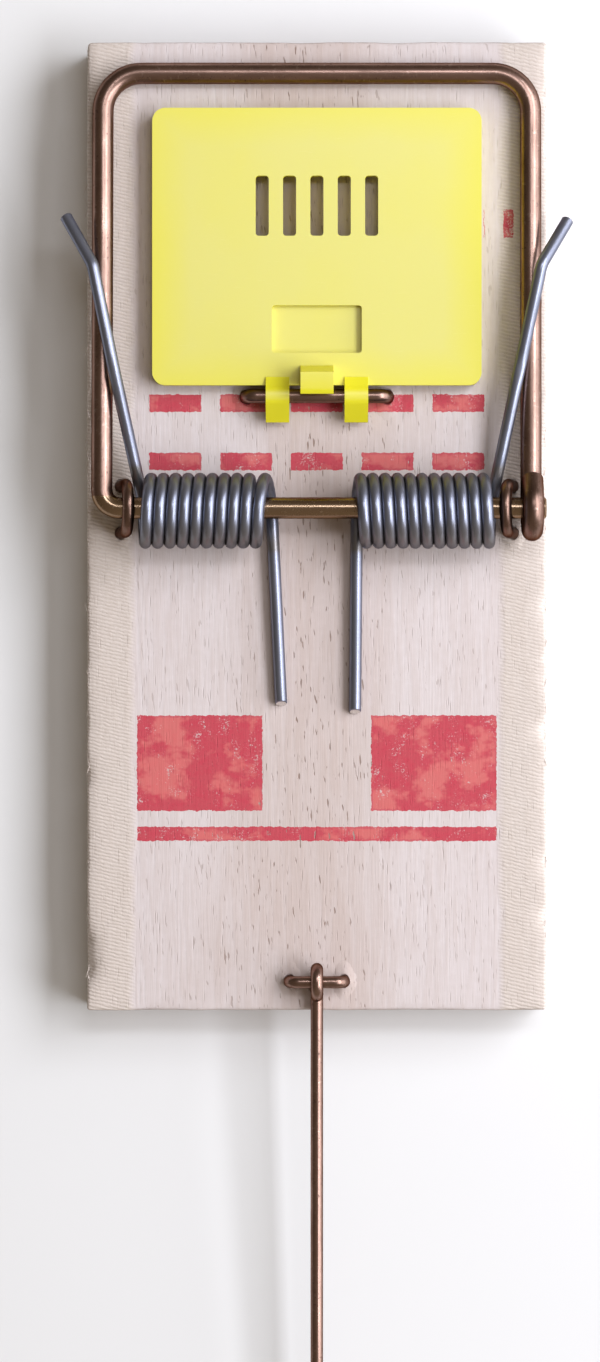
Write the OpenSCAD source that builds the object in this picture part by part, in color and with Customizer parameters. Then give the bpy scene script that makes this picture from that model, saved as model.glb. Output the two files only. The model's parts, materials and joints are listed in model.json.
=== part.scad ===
// Snap trap for rats: a wooden board that carries a sprung kill bar, a bait pedal and a lock bar.
// All sizes are in millimetres. The board lies flat, +Y points to the bait end, +Z up.
// The origin is the centre of the board's underside.

/* [Board] */
// Width of the board
board_width = 84.5; // [76:0.5:95]
// Length of the board
board_length = 178; // [160:1:200]
// Thickness of the board
board_thickness = 12.7; // [11:0.1:20]
// Chamfer along the board's long edges
board_edge = 0.6; // [0.3:0.1:1.5]
// Distance by which the axle lies in front of the board's middle
axle_offset = 3; // [2:0.5:4]

/* [Kill bar] */
// Diameter of the kill bar's wire, which also forms the axle
bar_wire_d = 3.9; // [3.4:0.1:4.1]
// Distance from the board's front end back to the striking bar, to the middle of the wire
bar_setback = 6; // [5.5:0.5:9]
// Height of the axle's centre above the board
axle_height = 7.6; // [7.5:0.1:9]
// Bend radius of the kill bar's corners, to the middle of the wire
corner_r = 7; // [5:0.5:12]
// Bend radius where the left arm leaves the axle, to the middle of the wire
root_r = 3.3; // [2.6:0.1:3.4]
// How far each arm stands in from the board's edge, to the middle of the wire
arm_inset = 3.1; // [2.5:0.05:4]
// How far the eye wraps round the axle, in degrees
eye_wrap = 218; // [200:1:235]
// Straight end of the wire past the eye
eye_tail = 3.7; // [2:0.1:3.9]
// Play between the eye and the axle
eye_play = 0.2; // [0.1:0.05:0.4]

/* [Springs] */
// Diameter of the spring wire, drawn a little thin so that neighbouring turns stay apart
spring_wire_d = 1.8; // [1.4:0.05:1.8]
// Radius of the coils, to the middle of the wire
coil_r = 5.8; // [5:0.1:6]
// Advance of the coils in one turn
coil_pitch = 2.23; // [2.21:0.01:2.3]
// Number of whole turns in the left coil
left_turns = 10; // [8:1:10]
// Number of whole turns in the right coil
right_turns = 11; // [8:1:11]
// How far the left coil's first half turn is pulled open
left_opening = 1.3; // [0:0.1:2]
// Gap between the top of each coil and the crown of the staple beside it
coil_gap = 1.4; // [1.1:0.05:1.7]
// How far the coils hang behind the axle
coil_droop = 0.5; // [0:0.1:0.6]
// Distance behind the axle to which the left spring's leg reaches on the board
left_leg = 36; // [25:0.5:45]
// Distance behind the axle to which the right spring's leg reaches on the board
right_leg = 37.5; // [25:0.5:45]
// How far the tip of the left spring's leg leans towards the centre line
left_leg_lean = 1.7; // [0:0.1:2]
// How far the tip of the right spring's leg leans towards the centre line
right_leg_lean = 0.3; // [0:0.1:2]
// Distance in front of the axle at which the outer legs kink down
hook_setout = 44.2; // [40:0.2:48]
// Length of the hook at the end of each outer leg
hook_length = 10.8; // [8:0.1:12]

/* [Staples] */
// Diameter of the staple wire
staple_d = 2.2; // [1.8:0.1:2.3]
// Depth to which the staples are driven into the board
staple_depth = 8; // [5:0.5:9]
// Radius of the axle staples' round crown, to the middle of the wire
axle_staple_r = 4.3; // [4.2:0.1:5]
// How far the axle staples' crowns lean inwards, in degrees
staple_lean = 10; // [0:0.1:11]
// Diameter of the wire of the pedal's staple
pivot_d = 2.6; // [2:0.1:2.7]
// Distance between the legs of the pedal's staple
pivot_span = 25.8; // [20:0.2:28]
// Distance between the legs of the lock bar's staple
lock_staple_span = 10; // [8:0.5:16]

/* [Bait pedal] */
// Gap between the pedal's sides and the kill bar's arms
pedal_side_gap = 7.1; // [3:0.05:10]
// Gap between the pedal's front and the striking bar
pedal_front_gap = 4.75; // [4:0.05:10]
// Thickness of the pedal's plate
pedal_thickness = 1.6; // [1.2:0.1:1.8]
// Radius of the plate's corners
pedal_corner_r = 2.4; // [1.5:0.1:5]
// Distance from the axle forward to the pedal's pivot
pivot_setout = 20.7; // [19.8:0.1:21]
// Height of the pedal's pivot above the board
pivot_height = 2.6; // [2.4:0.1:3]
// Thickness of the skirt round the plate's sides and front
skirt = 1.4; // [1:0.1:2]
// Width of each finger that clips over the pivot
finger_width = 4.3; // [3:0.1:5]
// Distance from the centre line to the middle of each finger
finger_offset = 7.2; // [6.2:0.1:9]
// How far each finger reaches behind the pivot
finger_reach = 4.8; // [4.4:0.1:6]
// Width of the bait recess
recess_width = 16.4; // [10:0.2:20]
// Length of the bait recess
recess_length = 8.7; // [6:0.1:12]
// Depth of the bait recess
recess_depth = 1.3; // [0.5:0.1:1.5]
// Number of scent slots
slot_count = 5; // [1:1:7]
// Width of each scent slot
slot_width = 2.4; // [1.8:0.1:3]
// Length of the scent slots
slot_length = 11; // [6:0.5:13]
// Distance from one scent slot to the next
slot_pitch = 5; // [4.5:0.1:7]

/* [Lock bar] */
// Diameter of the lock bar's wire
lock_d = 2.3; // [2:0.1:2.4]
// Distance from the board's rear end to the lock bar's pivot
lock_inset = 5.5; // [5:0.1:6]
// Upward slope of the lock bar when set, in degrees
lock_rise = 3.1; // [2.9:0.1:3.6]
// How far in front of the axle the set lock bar bends down
lock_bend_setout = 2.4; // [1.5:0.1:4]
// Bend radius there
lock_bend_r = 8; // [5:0.5:12]
// Downward slope of the lock bar's tip, in degrees
lock_fall = 14.6; // [12:0.2:15]
// Turn from the stored position back over the trap to the set position
lock_travel = 180; // [175:1:180]

/* [Hidden] */
$fn = 48;

WOOD = [0.86, 0.76, 0.66];
COPPER = [0.66, 0.44, 0.36];
STEEL = [0.36, 0.38, 0.43];
YELLOW = [0.95, 0.87, 0.12];

running_clear = 0.05;   // pin in its bore
wire_clear = 0.15;      // wire that rests on wire
seat_clear = 0.2;       // metal that lies on the board
hole_clear = 0.03;      // staple leg in the board
point_clear = 0.3;      // below a staple leg's point
tip_length = 1.6;       // point of a staple leg
tip_r = 0.25;
hair = 0.02;            // by which a wire's straights are thinner than its bends
lap = 0.06;             // by which they reach into the bends

axle_y = axle_offset;
bar_reach = board_length / 2 - bar_setback - axle_y;
axle_z = board_thickness + axle_height;
arm_x = board_width / 2 - arm_inset;
bar_tilt = asin((axle_height - bar_wire_d / 2 - seat_clear) / bar_reach);
eye_r = bar_wire_d + eye_play;
axle_stub = 0.6;        // end of the axle that shows past the eye
arm_to_staple = 4.45;   // between the middles of each arm and the axle staple beside it
axle_staple_x = arm_x - arm_to_staple;
staple_top = (bar_wire_d / 2 + wire_clear + staple_d / 2) / cos(staple_lean);
crown_x = axle_staple_x - staple_top * sin(staple_lean);
staple_foot = axle_height / cos(staple_lean);

pivot_y = axle_y + pivot_setout;
pivot_z = board_thickness + pivot_height;
lock_y = lock_inset - board_length / 2;
lock_setback = axle_y - lock_y;
lock_eye_r = (staple_d + lock_d) / 2 + wire_clear;
lock_eye_gap = 0.35;    // between the lock bar's eye and the board
lock_eye_wrap = 264;    // how far the eye wraps round its staple, in degrees
lock_short = 0.3;       // by which the set lock bar's tip ends behind the pedal's pivot
lock_z = board_thickness + lock_eye_r + lock_d / 2 + lock_eye_gap;

// ---- bent wire ------------------------------------------------------------------------------

// A wire bent as on a bench: each step is [straight length, roll, bend radius, bend angle].
// The wire starts along +Z, and a bend turns it towards +X after the roll about its own line.
// The straights are a hair thinner than the bends and lap into them, so that all join soundly.
module bent_wire(d, steps, i = 0) {
    if (i < len(steps)) {
        run = steps[i][0];
        roll = steps[i][1];
        r = steps[i][2];
        a = steps[i][3];
        before = i > 0 ? lap : 0;
        after = a > 0 ? lap : 0;
        if (run > 0)
            translate([0, 0, -before]) cylinder(h = run + before + after, d = d - hair);
        translate([0, 0, run]) rotate([0, 0, roll]) {
            if (a > 0)
                translate([r, 0, 0]) rotate([90, 0, 0]) rotate([0, 0, 180 - a])
                    rotate_extrude(angle = a) translate([r, 0]) circle(d = d);
            translate([r * (1 - cos(a)), 0, r * sin(a)]) rotate([0, a, 0])
                bent_wire(d, steps, i + 1);
        }
    }
}

// The point of a staple leg, hanging down from the leg's end.
module staple_point(d) {
    translate([0, 0, -tip_length]) cylinder(h = tip_length, r1 = tip_r, r2 = d / 2);
}

// ---- board ----------------------------------------------------------------------------------

// Hole for a staple leg, from 1 above the board's top down to just past the leg's point.
module leg_hole(x, y, z, d) {
    depth = staple_depth + tip_length + point_clear;
    translate([x, y, z - depth]) cylinder(h = depth + 1, d = d + 2 * hole_clear);
}

// Puts its children on the axle, in the frame of the leaning staple on that side.
module on_axle_staple(side) {
    translate([side * axle_staple_x, axle_y, axle_z]) rotate([0, -side * staple_lean, 0]) children();
}

module base_board() {
    w = board_width / 2;
    t = board_thickness;
    e = board_edge;
    color(WOOD) difference() {
        translate([0, board_length / 2, 0]) rotate([90, 0, 0]) linear_extrude(board_length)
            polygon([
                [-w + e, 0], [w - e, 0], [w, e], [w, t - e],
                [w - e, t], [-w + e, t], [-w, t - e], [-w, e]
            ]);
        for (side = [-1, 1]) {
            on_axle_staple(side)
                for (end = [-1, 1])
                    leg_hole(0, end * axle_staple_r, -staple_foot, staple_d);
            leg_hole(side * pivot_span / 2, pivot_y, t, pivot_d);
            leg_hole(side * lock_staple_span / 2, lock_y, t, staple_d);
        }
    }
}

// ---- staples --------------------------------------------------------------------------------

// A round-topped staple over the axle, its crown across the axle.
module axle_staple(side) {
    crown_z = staple_top - axle_staple_r;
    leg = crown_z + staple_foot + staple_depth;
    color(COPPER) on_axle_staple(side) translate([0, 0, crown_z]) {
        translate([0, -axle_staple_r, -leg]) rotate([0, 0, 90])
            bent_wire(staple_d, [[leg, 0, axle_staple_r, 180], [leg, 0, 0, 0]]);
        for (end = [-1, 1])
            translate([0, end * axle_staple_r, -leg]) staple_point(staple_d);
    }
}

pedal_staple_bend = 2;
lock_staple_bend = 1.8;

// A square-topped staple whose crown lies along X and serves as a hinge pin.
module hinge_staple(d, span, y, z, bend_r) {
    leg = z - board_thickness + staple_depth - bend_r;
    color(COPPER) translate([-span / 2, y, z - bend_r - leg]) {
        bent_wire(d, [[leg, 0, bend_r, 90], [span - 2 * bend_r, 0, bend_r, 90], [leg, 0, 0, 0]]);
        for (x = [0, span])
            translate([x, 0, 0]) staple_point(d);
    }
}

module pedal_staple() {
    hinge_staple(pivot_d, pivot_span, pivot_y, pivot_z, pedal_staple_bend);
}

module lock_bar_staple() {
    hinge_staple(staple_d, lock_staple_span, lock_y, lock_z, lock_staple_bend);
}

// ---- kill bar -------------------------------------------------------------------------------

// One wire: the axle, the left arm, the striking bar and the right arm, which runs under the
// free end of the axle and is rolled into an eye round it. It lies forward, just off the board.
module kill_bar() {
    axle_end = arm_x + bar_wire_d / 2 + axle_stub;
    twist = asin(eye_r / bar_reach);
    steps = [
        [axle_end + arm_x - root_r, 0, root_r, 90],
        [bar_reach - root_r - corner_r, 0, corner_r, 90],
        [2 * arm_x - 2 * corner_r, twist, corner_r, 90],
        [sqrt(bar_reach * bar_reach - eye_r * eye_r) - corner_r, -90, eye_r, eye_wrap],
        [eye_tail, 0, 0, 0]
    ];
    color(COPPER) translate([0, axle_y, axle_z]) rotate([-bar_tilt, 0, 0])
        translate([axle_end, 0, 0]) multmatrix([[0, 0, -1, 0], [1, 0, 0, 0], [0, -1, 0, 0]])
            bent_wire(bar_wire_d, steps);
}

// ---- springs --------------------------------------------------------------------------------

// Each pair of values is for the left and the right spring. The left arm runs higher than the
// right one, so that spring's outer leg is steeper, and dips once it is over the arm.
turns = [left_turns, right_turns];
opening = [left_opening, 0];
board_leg = [left_leg, right_leg];
board_leg_lean = [left_leg_lean, right_leg_lean];
leg_slope = [16.4, 8.3];    // upward slope of the outer leg, in degrees
leg_dip = [19.5, 0];        // how far the outer leg bends down over the arm, in degrees
dip_share = 0.58;           // where it does so, as a share of the way to the hook
hook_down = [20, 28];       // how far the hook points down, in degrees
leg_out = 11.5;             // how far the outer leg splays outwards, in degrees
hook_out = 27.5;            // how far the hook turns outwards, in degrees
hook_round = 1.2;           // how far before and after the kink the wire starts to turn
dip_round = 2.4;            // the same for the dip
rings_a_turn = 8;
tube_sides = 6;

coil_y = axle_y - coil_droop;
coil_end = crown_x - coil_gap - (staple_d + spring_wire_d - coil_pitch) / 2;

function coil_start(i) = coil_end - coil_pitch * turns[i] - opening[i];

// Middle line of a coil, for the right-hand spring.
function coil_point(i, a) = [
    coil_start(i) + coil_pitch * a / 360 + opening[i] * min(a / 180, 1),
    coil_y + coil_r * sin(a),
    axle_z - coil_r * cos(a)
];

// A direction that splays outwards from straight ahead, and slopes up.
function way(splay, slope) = [sin(splay), cos(splay) * cos(slope), cos(splay) * sin(slope)];

// Middle line of a whole spring, from its tip on the board to the tip of its hook.
function spring_line(i) =
    let (
        slope = leg_slope[i],
        down = hook_down[i],
        end = coil_point(i, 360 * turns[i] + slope),
        along = way(leg_out, slope),
        over = way(leg_out, slope - leg_dip[i]),
        hook = way(hook_out, -down),
        dip = end + (axle_y + dip_share * hook_setout - end.y) / along.y * along,
        kink = dip + (axle_y + hook_setout - dip.y) / over.y * over
    )
    concat(
        [[coil_start(i) - board_leg_lean[i], axle_y - board_leg[i],
          board_thickness + spring_wire_d / 2 + seat_clear]],
        [for (k = [0 : rings_a_turn * turns[i]]) coil_point(i, 360 * k / rings_a_turn)],
        [end, dip - dip_round * along, dip + dip_round * over],
        [kink - hook_round * over, kink + hook_round * hook, kink + hook_length * hook]
    );

function unit(v) = v / norm(v);

// A closed tube of one wire along a line that never runs along X.
module tube(line, d, sides) {
    n = len(line);
    rings = [for (i = [0 : n - 1])
        let (
            t = unit(line[min(i + 1, n - 1)] - line[max(i - 1, 0)]),
            u = unit([1, 0, 0] - t.x * t),
            v = cross(t, u)
        )
        for (k = [0 : sides - 1])
            line[i] + d / 2 * (cos(360 * k / sides) * u + sin(360 * k / sides) * v)
    ];
    walls = [for (i = [0 : n - 2]) for (k = [0 : sides - 1])
        let (a = i * sides + k, b = i * sides + (k + 1) % sides)
        each [[a, a + sides, b], [b, a + sides, b + sides]]
    ];
    first = [for (k = [1 : sides - 2]) [0, k, k + 1]];
    last_ring = (n - 1) * sides;
    last = [for (k = [1 : sides - 2]) [last_ring, last_ring + k + 1, last_ring + k]];
    polyhedron(rings, concat(walls, first, last));
}

// Least gap between the spring wire and itself, measured between points at least half a turn apart.
function least_gap(line, d) = min([
    for (i = [0 : len(line) - 1])
        for (j = [i + rings_a_turn / 2 : 1 : len(line) - 1])
            norm(line[i] - line[j])
]) - d;

module spring_left() {
    color(STEEL) mirror([1, 0, 0]) tube(spring_line(0), spring_wire_d, tube_sides);
}

module spring_right() {
    color(STEEL) tube(spring_line(1), spring_wire_d, tube_sides);
}

// ---- bait pedal -----------------------------------------------------------------------------

pedal_top = pivot_d / 2;                // height of the plate's top above the pivot
plate_under = pedal_top - pedal_thickness;
plate_gap = 0.6;                        // between the pivot and the plate's rear edge
plate_rear = pivot_d / 2 + plate_gap;   // the plate's rear edge in front of the pivot
finger_wall = 1.5;                      // plastic round the pivot
finger_lap = 0.4;                       // by which each finger's root reaches into the plate
finger_ridge = 0.2;                     // by which the root stands above the plate
finger_tip = 0.9;                       // thickness of the tip
finger_tip_drop = 0.2;                  // depth of the tip's top below the pivot
finger_turn = 45;                       // where the finger leaves its round top, in degrees
jaw_depth = 1.3;                        // depth below the pivot to which the fingers clip round it
jaw_share = 0.84;                       // width of the jaw's mouth as a share of the pivot
catch_width = 6;
catch_wall = 2;                         // thickness of the catch's upright
catch_foot = 1.6;                       // how far the upright spreads to the plate
catch_clear = 0.3;                      // between the lip and the set lock bar's tip, seen from above
catch_lip_height = 1.5;
catch_slant = 0.6;                      // where the lip's slanted top ends, as a share of its reach
catch_under = 5.6;                      // height of the lip's underside above the pivot
recess_setout = 7.8;                    // from the pivot to the bait recess
recess_floor = 0.9;
slots_setout = 29.2;                    // from the pivot to the scent slots
slot_corner_r = 0.6;
recess_corner_r = 0.6;
pedal_width = 2 * (arm_x - bar_wire_d / 2 - pedal_side_gap);
pedal_length = bar_reach - bar_wire_d / 2 - pedal_front_gap - pivot_setout - plate_rear;

module rounded_plate(w, l, r, h) {
    linear_extrude(h) {
        translate([-w / 2 + r, 0]) square([w - 2 * r, l]);
        translate([-w / 2, r]) square([w, l - 2 * r]);
        for (x = [-w / 2 + r, w / 2 - r])
            for (y = [r, l - r])
                translate([x, y]) circle(r = r);
    }
}

// Plate with a skirt down its sides and front, in the pivot's own frame.
module pedal_plate() {
    skirt_depth = pivot_height + plate_under - seat_clear;
    translate([0, plate_rear, plate_under])
        rounded_plate(pedal_width, pedal_length, pedal_corner_r, pedal_thickness);
    translate([0, plate_rear, plate_under - skirt_depth])
        difference() {
            rounded_plate(pedal_width, pedal_length, pedal_corner_r, skirt_depth + pedal_thickness / 2);
            translate([0, -skirt, -1])
                rounded_plate(pedal_width - 2 * skirt, pedal_length, pedal_corner_r - skirt / 2,
                    skirt_depth + pedal_thickness);
        }
}

// A finger that clips over the pivot from above and reaches back towards the axle.
module pedal_finger() {
    outer = pivot_d / 2 + finger_wall;
    root = plate_rear + finger_wall;
    mouth = pivot_d * jaw_share;
    translate([-finger_width / 2, 0, 0]) rotate([90, 0, 90]) linear_extrude(finger_width)
        difference() {
            union() {
                circle(r = outer);
                polygon([
                    [0, 0], [root, pedal_top - finger_lap], [root, pedal_top + finger_ridge], [0, outer]
                ]);
                polygon([
                    [0, 0], [0, outer], [-outer * sin(finger_turn), outer * cos(finger_turn)],
                    [-finger_reach, -finger_tip_drop], [-finger_reach, -finger_tip_drop - finger_tip]
                ]);
            }
            circle(d = pivot_d + 2 * running_clear);
            translate([-mouth / 2, -outer]) square([mouth, outer]);
            translate([-outer, -2 * outer]) square([2 * outer, 2 * outer - jaw_depth]);
        }
}

// Upright with a lip that holds down the tip of the set lock bar.
module pedal_catch() {
    front = plate_rear + catch_wall;
    lip = catch_clear - lock_short;
    slant_end = lip + catch_slant * (plate_rear - lip);
    top = catch_under + catch_lip_height;
    translate([-catch_width / 2, 0, 0]) rotate([90, 0, 90]) linear_extrude(catch_width)
        polygon([
            [plate_rear, plate_under], [plate_rear, catch_under], [lip, catch_under],
            [lip, catch_under + catch_lip_height / 2], [slant_end, top],
            [front, top], [front + catch_foot, pedal_top], [front + catch_foot, plate_under]
        ]);
}

module bait_pedal() {
    color(YELLOW) translate([0, pivot_y, pivot_z]) {
        difference() {
            union() {
                pedal_plate();
                translate([0, recess_setout - recess_floor, pedal_top - recess_depth - recess_floor])
                    rounded_plate(recess_width + 2 * recess_floor, recess_length + 2 * recess_floor,
                        recess_corner_r + recess_floor, recess_depth);
                pedal_catch();
            }
            translate([0, recess_setout, pedal_top - recess_depth])
                rounded_plate(recess_width, recess_length, recess_corner_r, recess_depth + 1);
            for (i = [0 : slot_count - 1])
                translate([(i - (slot_count - 1) / 2) * slot_pitch, slots_setout, plate_under - 1])
                    rounded_plate(slot_width, slot_length, slot_corner_r, pedal_thickness + 2);
        }
        for (side = [-1, 1])
            translate([side * finger_offset, 0, 0]) pedal_finger();
    }
}

// ---- lock bar -------------------------------------------------------------------------------

// Shaped for its set position, and stored swung back over the board's rear end.
module lock_bar() {
    turn = lock_rise + lock_fall;
    to_bend = (lock_setback + lock_bend_setout) / cos(lock_rise);
    bend_tangent = lock_bend_r * tan(turn / 2);
    tip_run = (pivot_setout - lock_short - lock_bend_setout) / cos(lock_fall);
    steps = [
        [0, 0, lock_eye_r, lock_eye_wrap],
        [to_bend - bend_tangent, 0, lock_bend_r, turn],
        [tip_run - bend_tangent, 0, 0, 0]
    ];
    color(COPPER) translate([0, lock_y, lock_z])
        rotate([lock_travel + lock_rise + lock_eye_wrap, 0, 0])
            translate([0, 0, lock_eye_r]) rotate([-90, 0, 0]) rotate([0, 0, 90])
                bent_wire(lock_d, steps);
}

// ---- nodes ----------------------------------------------------------------------------------

echo(spring_least_gap = [for (i = [0, 1]) least_gap(spring_line(i), spring_wire_d)]);

base_board();
kill_bar();
spring_left();
spring_right();
axle_staple(-1);  // axle_staple_left
axle_staple(1);  // axle_staple_right
bait_pedal();
pedal_staple();
lock_bar();
lock_bar_staple();
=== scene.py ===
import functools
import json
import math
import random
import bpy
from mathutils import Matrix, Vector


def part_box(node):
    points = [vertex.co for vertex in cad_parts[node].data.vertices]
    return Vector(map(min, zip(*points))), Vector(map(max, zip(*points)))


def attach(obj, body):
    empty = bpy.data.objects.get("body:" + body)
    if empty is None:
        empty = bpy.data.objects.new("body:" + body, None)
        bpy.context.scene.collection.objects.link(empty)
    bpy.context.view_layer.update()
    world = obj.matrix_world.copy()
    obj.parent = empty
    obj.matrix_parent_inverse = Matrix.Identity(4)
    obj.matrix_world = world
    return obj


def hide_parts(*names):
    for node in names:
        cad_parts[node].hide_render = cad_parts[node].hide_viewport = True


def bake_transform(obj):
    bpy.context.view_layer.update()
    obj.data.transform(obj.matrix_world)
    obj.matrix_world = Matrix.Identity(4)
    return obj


bl_info = {
    "name": "Snap Trap Dressing",
    "version": (1, 0, 0),
    "blender": (4, 5, 0),
    "location": "View3D > Sidebar > Snap Trap",
    "description": "Dresses a wooden snap trap: board, bent wires, springs, pedal and a studio",
    "category": "Object",
}

import bmesh
import bpy
from bpy.props import FloatProperty, FloatVectorProperty, IntProperty, PointerProperty
from mathutils import Matrix, Vector, noise

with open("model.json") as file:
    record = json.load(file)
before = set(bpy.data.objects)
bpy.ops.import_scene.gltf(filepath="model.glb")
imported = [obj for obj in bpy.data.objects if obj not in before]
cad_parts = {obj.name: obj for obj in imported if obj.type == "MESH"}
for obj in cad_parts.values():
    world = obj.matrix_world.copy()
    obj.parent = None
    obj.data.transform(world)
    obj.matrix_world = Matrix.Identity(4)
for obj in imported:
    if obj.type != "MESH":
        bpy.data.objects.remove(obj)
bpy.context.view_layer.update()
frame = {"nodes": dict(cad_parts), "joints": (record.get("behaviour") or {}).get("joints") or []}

MM = 0.001
IMAGE_SIZE = (600, 1362)

RIGHT = Vector((1, 0, 0))
FORWARD = Vector((0, 1, 0))
UP = Vector((0, 0, 1))

# ---- places that the frame gives -------------------------------------------------------------

JOINTS = {joint["name"]: joint for joint in frame["joints"]}
AXLE = Vector(JOINTS["kill_bar_swing"]["pos_m"])
PIVOT = Vector(JOINTS["pedal_tilt"]["pos_m"])
LOCK_PIVOT = Vector(JOINTS["lock_bar_swing"]["pos_m"])
BOARD_LOW, BOARD_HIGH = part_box("base_board")
BOARD_TOP = BOARD_HIGH.z
BAR_LOW, BAR_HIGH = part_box("kill_bar")
AXLE_STAPLE_LOW, AXLE_STAPLE_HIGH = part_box("axle_staple_right")
PEDAL_STAPLE_LOW, PEDAL_STAPLE_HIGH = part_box("pedal_staple")
LOCK_STAPLE_LOW, LOCK_STAPLE_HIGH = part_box("lock_bar_staple")
LOCK_BAR_LOW, LOCK_BAR_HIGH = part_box("lock_bar")
PEDAL_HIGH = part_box("bait_pedal")[1]
PLATE_REAR = PIVOT.y + (PEDAL_STAPLE_HIGH.y - PEDAL_STAPLE_LOW.y) / 2 + 0.6 * MM


# ---- sizes and colours that a user would change ----------------------------------------------


def length(name, description, default):
    return FloatProperty(name=name, description=description, default=default, unit="LENGTH")


def count(name, description, default):
    return IntProperty(name=name, description=description, default=default, min=2)


def power(name, description, default):
    return FloatProperty(name=name, description=description, default=default, unit="POWER")


def colour(name, description, default):
    return FloatVectorProperty(
        name=name, description=description, default=default, size=3, min=0, max=1, subtype="COLOR"
    )


class TrapSizes(bpy.types.PropertyGroup):
    """Wire and board sizes."""

    bar_wire: length("Kill bar wire", "Diameter of the kill bar's wire", 3.9 * MM)
    spring_wire: length("Spring wire", "Diameter of the springs' wire", 2.24 * MM)
    coil_radius: length("Coil radius", "Radius of the coils, to the middle of the wire", 5.8 * MM)
    coil_pitch: length("Coil pitch", "Advance of a coil in one turn", 2.23 * MM)
    left_turns: count("Left turns", "Whole turns in the left coil", 10)
    right_turns: count("Right turns", "Whole turns in the right coil", 11)
    corner_radius: length("Corner radius", "Bend radius of the striking bar's corners", 7 * MM)
    eye_wrap: FloatProperty(
        name="Eye wrap", description="How far the kill bar's eye wraps the axle",
        default=math.radians(218), subtype="ANGLE",
    )
    edge_wear: length("Edge wear", "How far the board's edges are worn back", 0.55 * MM)
    splinters: count("Splinters", "Loose fibres along the board's edges", 150)
    pedal_edge: length("Pedal edge", "Rounding of the moulded pedal's edges", 0.45 * MM)


class TrapColours(bpy.types.PropertyGroup):
    """Finishes, in linear colour."""

    wood: colour("Wood", "Pale face of the board", (0.765, 0.71, 0.725))
    # Also used for the painted shade down the board's middle.
    wood_dark: colour("Wood grain", "Late growth and dull patches", (0.56, 0.45, 0.41))
    wood_fleck: colour("Wood flecks", "Short dark flecks along the grain", (0.22, 0.14, 0.11))
    ink: colour("Ink", "Stamped red ink where it lies thick", (0.54, 0.006, 0.055))
    ink_thin: colour("Thin ink", "Stamped red ink where it lies thin", (0.66, 0.075, 0.085))
    copper: colour("Copper wash", "Bright copper wash on the wires", (0.34, 0.22, 0.18))
    # Also used for the painted shade on the copper near the axle.
    copper_dull_and_shade: colour("Dull copper", "Handled and oxidised copper", (0.10, 0.058, 0.042))
    steel: colour("Spring steel", "Blued spring wire", (0.25, 0.265, 0.335))
    cut_steel: colour("Cut steel", "Bright sheared ends", (0.84, 0.82, 0.80))
    plastic: colour("Pedal", "Moulded yellow plastic", (0.74, 0.68, 0.02))
    # Painted sheen: the paler yellow painted on the pedal's flat top face.
    plastic_sheen: colour("Pale pedal", "Yellow plastic, dulled on its flat face", (0.70, 0.655, 0.17))
    floor: colour("Floor", "Studio floor", (0.80, 0.80, 0.80))


class TrapStage(bpy.types.PropertyGroup):
    """Camera and lamps."""

    camera_height: length("Camera height", "Camera above the kill bar's axle", 0.75)
    pixels_a_metre: FloatProperty(
        name="Scale", description="Image pixels to a metre at the axle's height", default=5500
    )
    axle_column: FloatProperty(
        name="Axle column", description="Image column of the board's middle", default=317
    )
    axle_row: FloatProperty(name="Axle row", description="Image row of the axle", default=508)
    key_power: power("Key lamp", "Power of the soft box at the right", 6.7)
    side_power: power("Side lamp", "Power of the low, distant panel at the right", 83)
    top_power: power("Top lamp", "Power of the soft box overhead", 1.5)
    room_strength: FloatProperty(
        name="Room light", description="Strength of the room's own light", default=0.25
    )


# ---- shader maths ----------------------------------------------------------------------------


class Channel:
    """A shader socket that takes Python's operators; each adds a Math node."""

    def __init__(self, finish, socket):
        self.finish = finish
        self.socket = socket

    def _maths(self, operation, *values, clamp=False):
        return self.finish.node("ShaderNodeMath", {"operation": operation, "use_clamp": clamp}, *values)

    def __add__(self, other):
        return self._maths("ADD", self, other)

    __radd__ = __add__

    def __sub__(self, other):
        return self._maths("SUBTRACT", self, other)

    def __rsub__(self, other):
        return self._maths("SUBTRACT", other, self)

    def __mul__(self, other):
        return self._maths("MULTIPLY", self, other)

    __rmul__ = __mul__

    def __abs__(self):
        return self._maths("ABSOLUTE", self)

    def __lt__(self, other):
        return self._maths("LESS_THAN", self, other)

    def sine(self):
        return self._maths("SINE", self)

    def least(self, other):
        return self._maths("MINIMUM", self, other)

    def most(self, other):
        return self._maths("MAXIMUM", self, other)

    def wrap(self, length):
        """The remainder after whole lengths, never negative."""
        return self._maths("WRAP", self, length, 0.0)

    def ease(self, low, high):
        """0 below low, 1 above high, and a straight ramp between them, clamped."""
        return self._maths("MULTIPLY_ADD", self, 1 / (high - low), -low / (high - low), clamp=True)


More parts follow.
